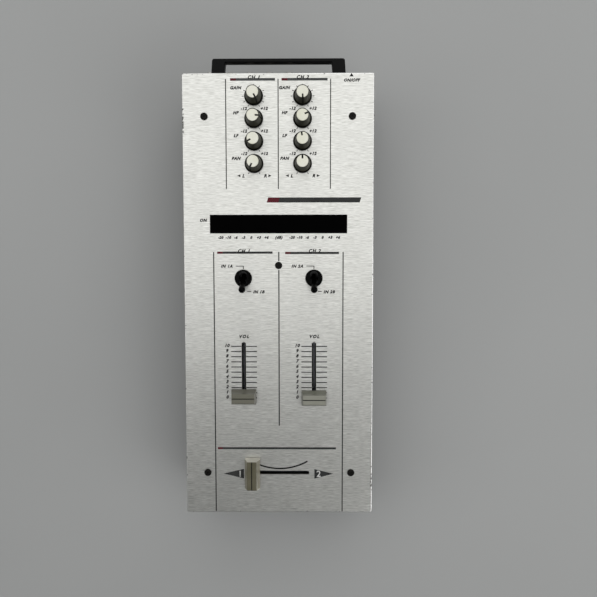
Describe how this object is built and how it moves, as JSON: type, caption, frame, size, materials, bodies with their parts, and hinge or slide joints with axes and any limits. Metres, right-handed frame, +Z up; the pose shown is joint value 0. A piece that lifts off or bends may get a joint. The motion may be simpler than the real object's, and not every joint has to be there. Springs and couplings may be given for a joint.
{
  "type": "dj mixer",
  "caption": "Slim two-channel DJ mixer: brushed aluminium faceplate with rotary knobs, a meter window, input toggles, level faders and a crossfader on a black steel case with a rear handle.",
  "frame": {"origin": "centre of the footprint on the table, under the feet", "axes": "+X to the user's right, +Y to the rear with the sockets and handle, +Z up out of the control panel"},
  "size_m": [0.152, 0.3805, 0.0855],
  "materials": {
    "panel_aluminium": "brushed along its width, clear anodised",
    "case_black": "fine-textured black powder coat",
    "handle_black": "satin black",
    "plated_steel": "zinc plated",
    "case_screw_black": "black zinc",
    "panel_screw_black": "black oxide",
    "foot_rubber": "matte",
    "knob_charcoal": "fine satin",
    "knob_cream": "satin",
    "front_knob_black": "fine satin",
    "fader_grey": "satin",
    "toggle_black": "polished",
    "window_smoke": "polished smoked acrylic",
    "lamp_lens": "diffused",
    "board_green": "solder mask",
    "socket_nickel": "nickel plated",
    "insulator_white": "satin",
    "moulding_black": "satin"
  },
  "bodies": {
    "case": {"faceplate": "panel_aluminium", "sub_panel": "plated_steel", "bottom_tray": "case_black", "rubber_feet": "foot_rubber", "case_screws": "case_screw_black", "faceplate_screws": "panel_screw_black", "rear_handle": "handle_black", "meter_window": "window_smoke", "meter_lamps": "lamp_lens", "control_board": "board_green", "main_board": "board_green", "pot_bodies": "plated_steel", "toggle_bodies": "moulding_black", "toggle_collars": "toggle_black", "fader_frames": "plated_steel", "fader_rods": "plated_steel", "phono_shells": "socket_nickel", "phono_insulators": "insulator_white", "earth_posts": "socket_nickel", "power_inlet": "moulding_black", "power_switch": "moulding_black", "phones_jack": "moulding_black"},
    "balance_1": {"balance_1_knob": "knob_charcoal", "balance_1_insert": "knob_cream", "balance_1_shaft": "plated_steel"},
    "bass_1": {"bass_1_knob": "knob_charcoal", "bass_1_insert": "knob_cream", "bass_1_shaft": "plated_steel"},
    "treble_1": {"treble_1_knob": "knob_charcoal", "treble_1_insert": "knob_cream", "treble_1_shaft": "plated_steel"},
    "gain_1": {"gain_1_knob": "knob_charcoal", "gain_1_insert": "knob_cream", "gain_1_shaft": "plated_steel"},
    "balance_2": {"balance_2_knob": "knob_charcoal", "balance_2_insert": "knob_cream", "balance_2_shaft": "plated_steel"},
    "bass_2": {"bass_2_knob": "knob_charcoal", "bass_2_insert": "knob_cream", "bass_2_shaft": "plated_steel"},
    "treble_2": {"treble_2_knob": "knob_charcoal", "treble_2_insert": "knob_cream", "treble_2_shaft": "plated_steel"},
    "gain_2": {"gain_2_knob": "knob_charcoal", "gain_2_insert": "knob_cream", "gain_2_shaft": "plated_steel"},
    "phones_level": {"phones_level_knob": "front_knob_black", "phones_level_shaft": "plated_steel"},
    "curve": {"curve_knob": "front_knob_black", "curve_shaft": "plated_steel"},
    "toggle_1": {"toggle_1_lever": "toggle_black"},
    "toggle_2": {"toggle_2_lever": "toggle_black"},
    "level_fader_1": {"level_fader_1_carriage": "moulding_black", "level_fader_1_cap": "fader_grey"},
    "level_fader_2": {"level_fader_2_carriage": "moulding_black", "level_fader_2_cap": "fader_grey"},
    "crossfader": {"crossfader_carriage": "moulding_black", "crossfader_cap": "fader_grey"},
    "cue": {"cue_slider": "fader_grey"},
    "power": {"power_rocker": "moulding_black"}
  },
  "joints": [
    {"name": "balance_1_turn", "type": "hinge", "parent": "case", "child": "balance_1", "pos_m": [-0.0192, 0.1065, 0.07], "axis": [0, 0, 1], "range_deg": [-300, 0]},
    {"name": "bass_1_turn", "type": "hinge", "parent": "case", "child": "bass_1", "pos_m": [-0.0192, 0.124, 0.07], "axis": [0, 0, 1], "range_deg": [-268, 32]},
    {"name": "treble_1_turn", "type": "hinge", "parent": "case", "child": "treble_1", "pos_m": [-0.0192, 0.1415, 0.07], "axis": [0, 0, 1], "range_deg": [-55, 245]},
    {"name": "gain_1_turn", "type": "hinge", "parent": "case", "child": "gain_1", "pos_m": [-0.0192, 0.159, 0.07], "axis": [0, 0, 1], "range_deg": [0, 300]},
    {"name": "balance_2_turn", "type": "hinge", "parent": "case", "child": "balance_2", "pos_m": [0.0192, 0.1065, 0.07], "axis": [0, 0, 1], "range_deg": [-150, 150]},
    {"name": "bass_2_turn", "type": "hinge", "parent": "case", "child": "bass_2", "pos_m": [0.0192, 0.124, 0.07], "axis": [0, 0, 1], "range_deg": [-159, 141]},
    {"name": "treble_2_turn", "type": "hinge", "parent": "case", "child": "treble_2", "pos_m": [0.0192, 0.1415, 0.07], "axis": [0, 0, 1], "range_deg": [-82, 218]},
    {"name": "gain_2_turn", "type": "hinge", "parent": "case", "child": "gain_2", "pos_m": [0.0192, 0.159, 0.07], "axis": [0, 0, 1], "range_deg": [0, 300]},
    {"name": "phones_level_turn", "type": "hinge", "parent": "case", "child": "phones_level", "pos_m": [-0.024, -0.1758, 0.03], "axis": [0, -1, 0], "range_deg": [-150, 150]},
    {"name": "curve_turn", "type": "hinge", "parent": "case", "child": "curve", "pos_m": [0.048, -0.1758, 0.03], "axis": [0, -1, 0], "range_deg": [-150, 150]},
    {"name": "toggle_1_flip", "type": "hinge", "parent": "case", "child": "toggle_1", "pos_m": [-0.0283, 0.01585, 0.068], "axis": [-1, 0, 0], "range_deg": [0, 60]},
    {"name": "toggle_2_flip", "type": "hinge", "parent": "case", "child": "toggle_2", "pos_m": [0.0283, 0.01585, 0.068], "axis": [-1, 0, 0], "range_deg": [0, 60]},
    {"name": "level_fader_1_slide", "type": "slide", "parent": "case", "child": "level_fader_1", "axis": [0, 1, 0], "range_m": [-0.0027, 0.0423]},
    {"name": "level_fader_2_slide", "type": "slide", "parent": "case", "child": "level_fader_2", "axis": [0, 1, 0], "range_m": [-0.0017, 0.0433]},
    {"name": "crossfader_slide", "type": "slide", "parent": "case", "child": "crossfader", "axis": [1, 0, 0], "range_m": [-0.0007, 0.0443]},
    {"name": "cue_slide", "type": "slide", "parent": "case", "child": "cue", "axis": [1, 0, 0], "range_m": [-0.01, 0.01]},
    {"name": "power_rock", "type": "hinge", "parent": "case", "child": "power", "pos_m": [0.058, 0.1768, 0.028], "axis": [-1, 0, 0], "range_deg": [0, 20]}
  ]
}
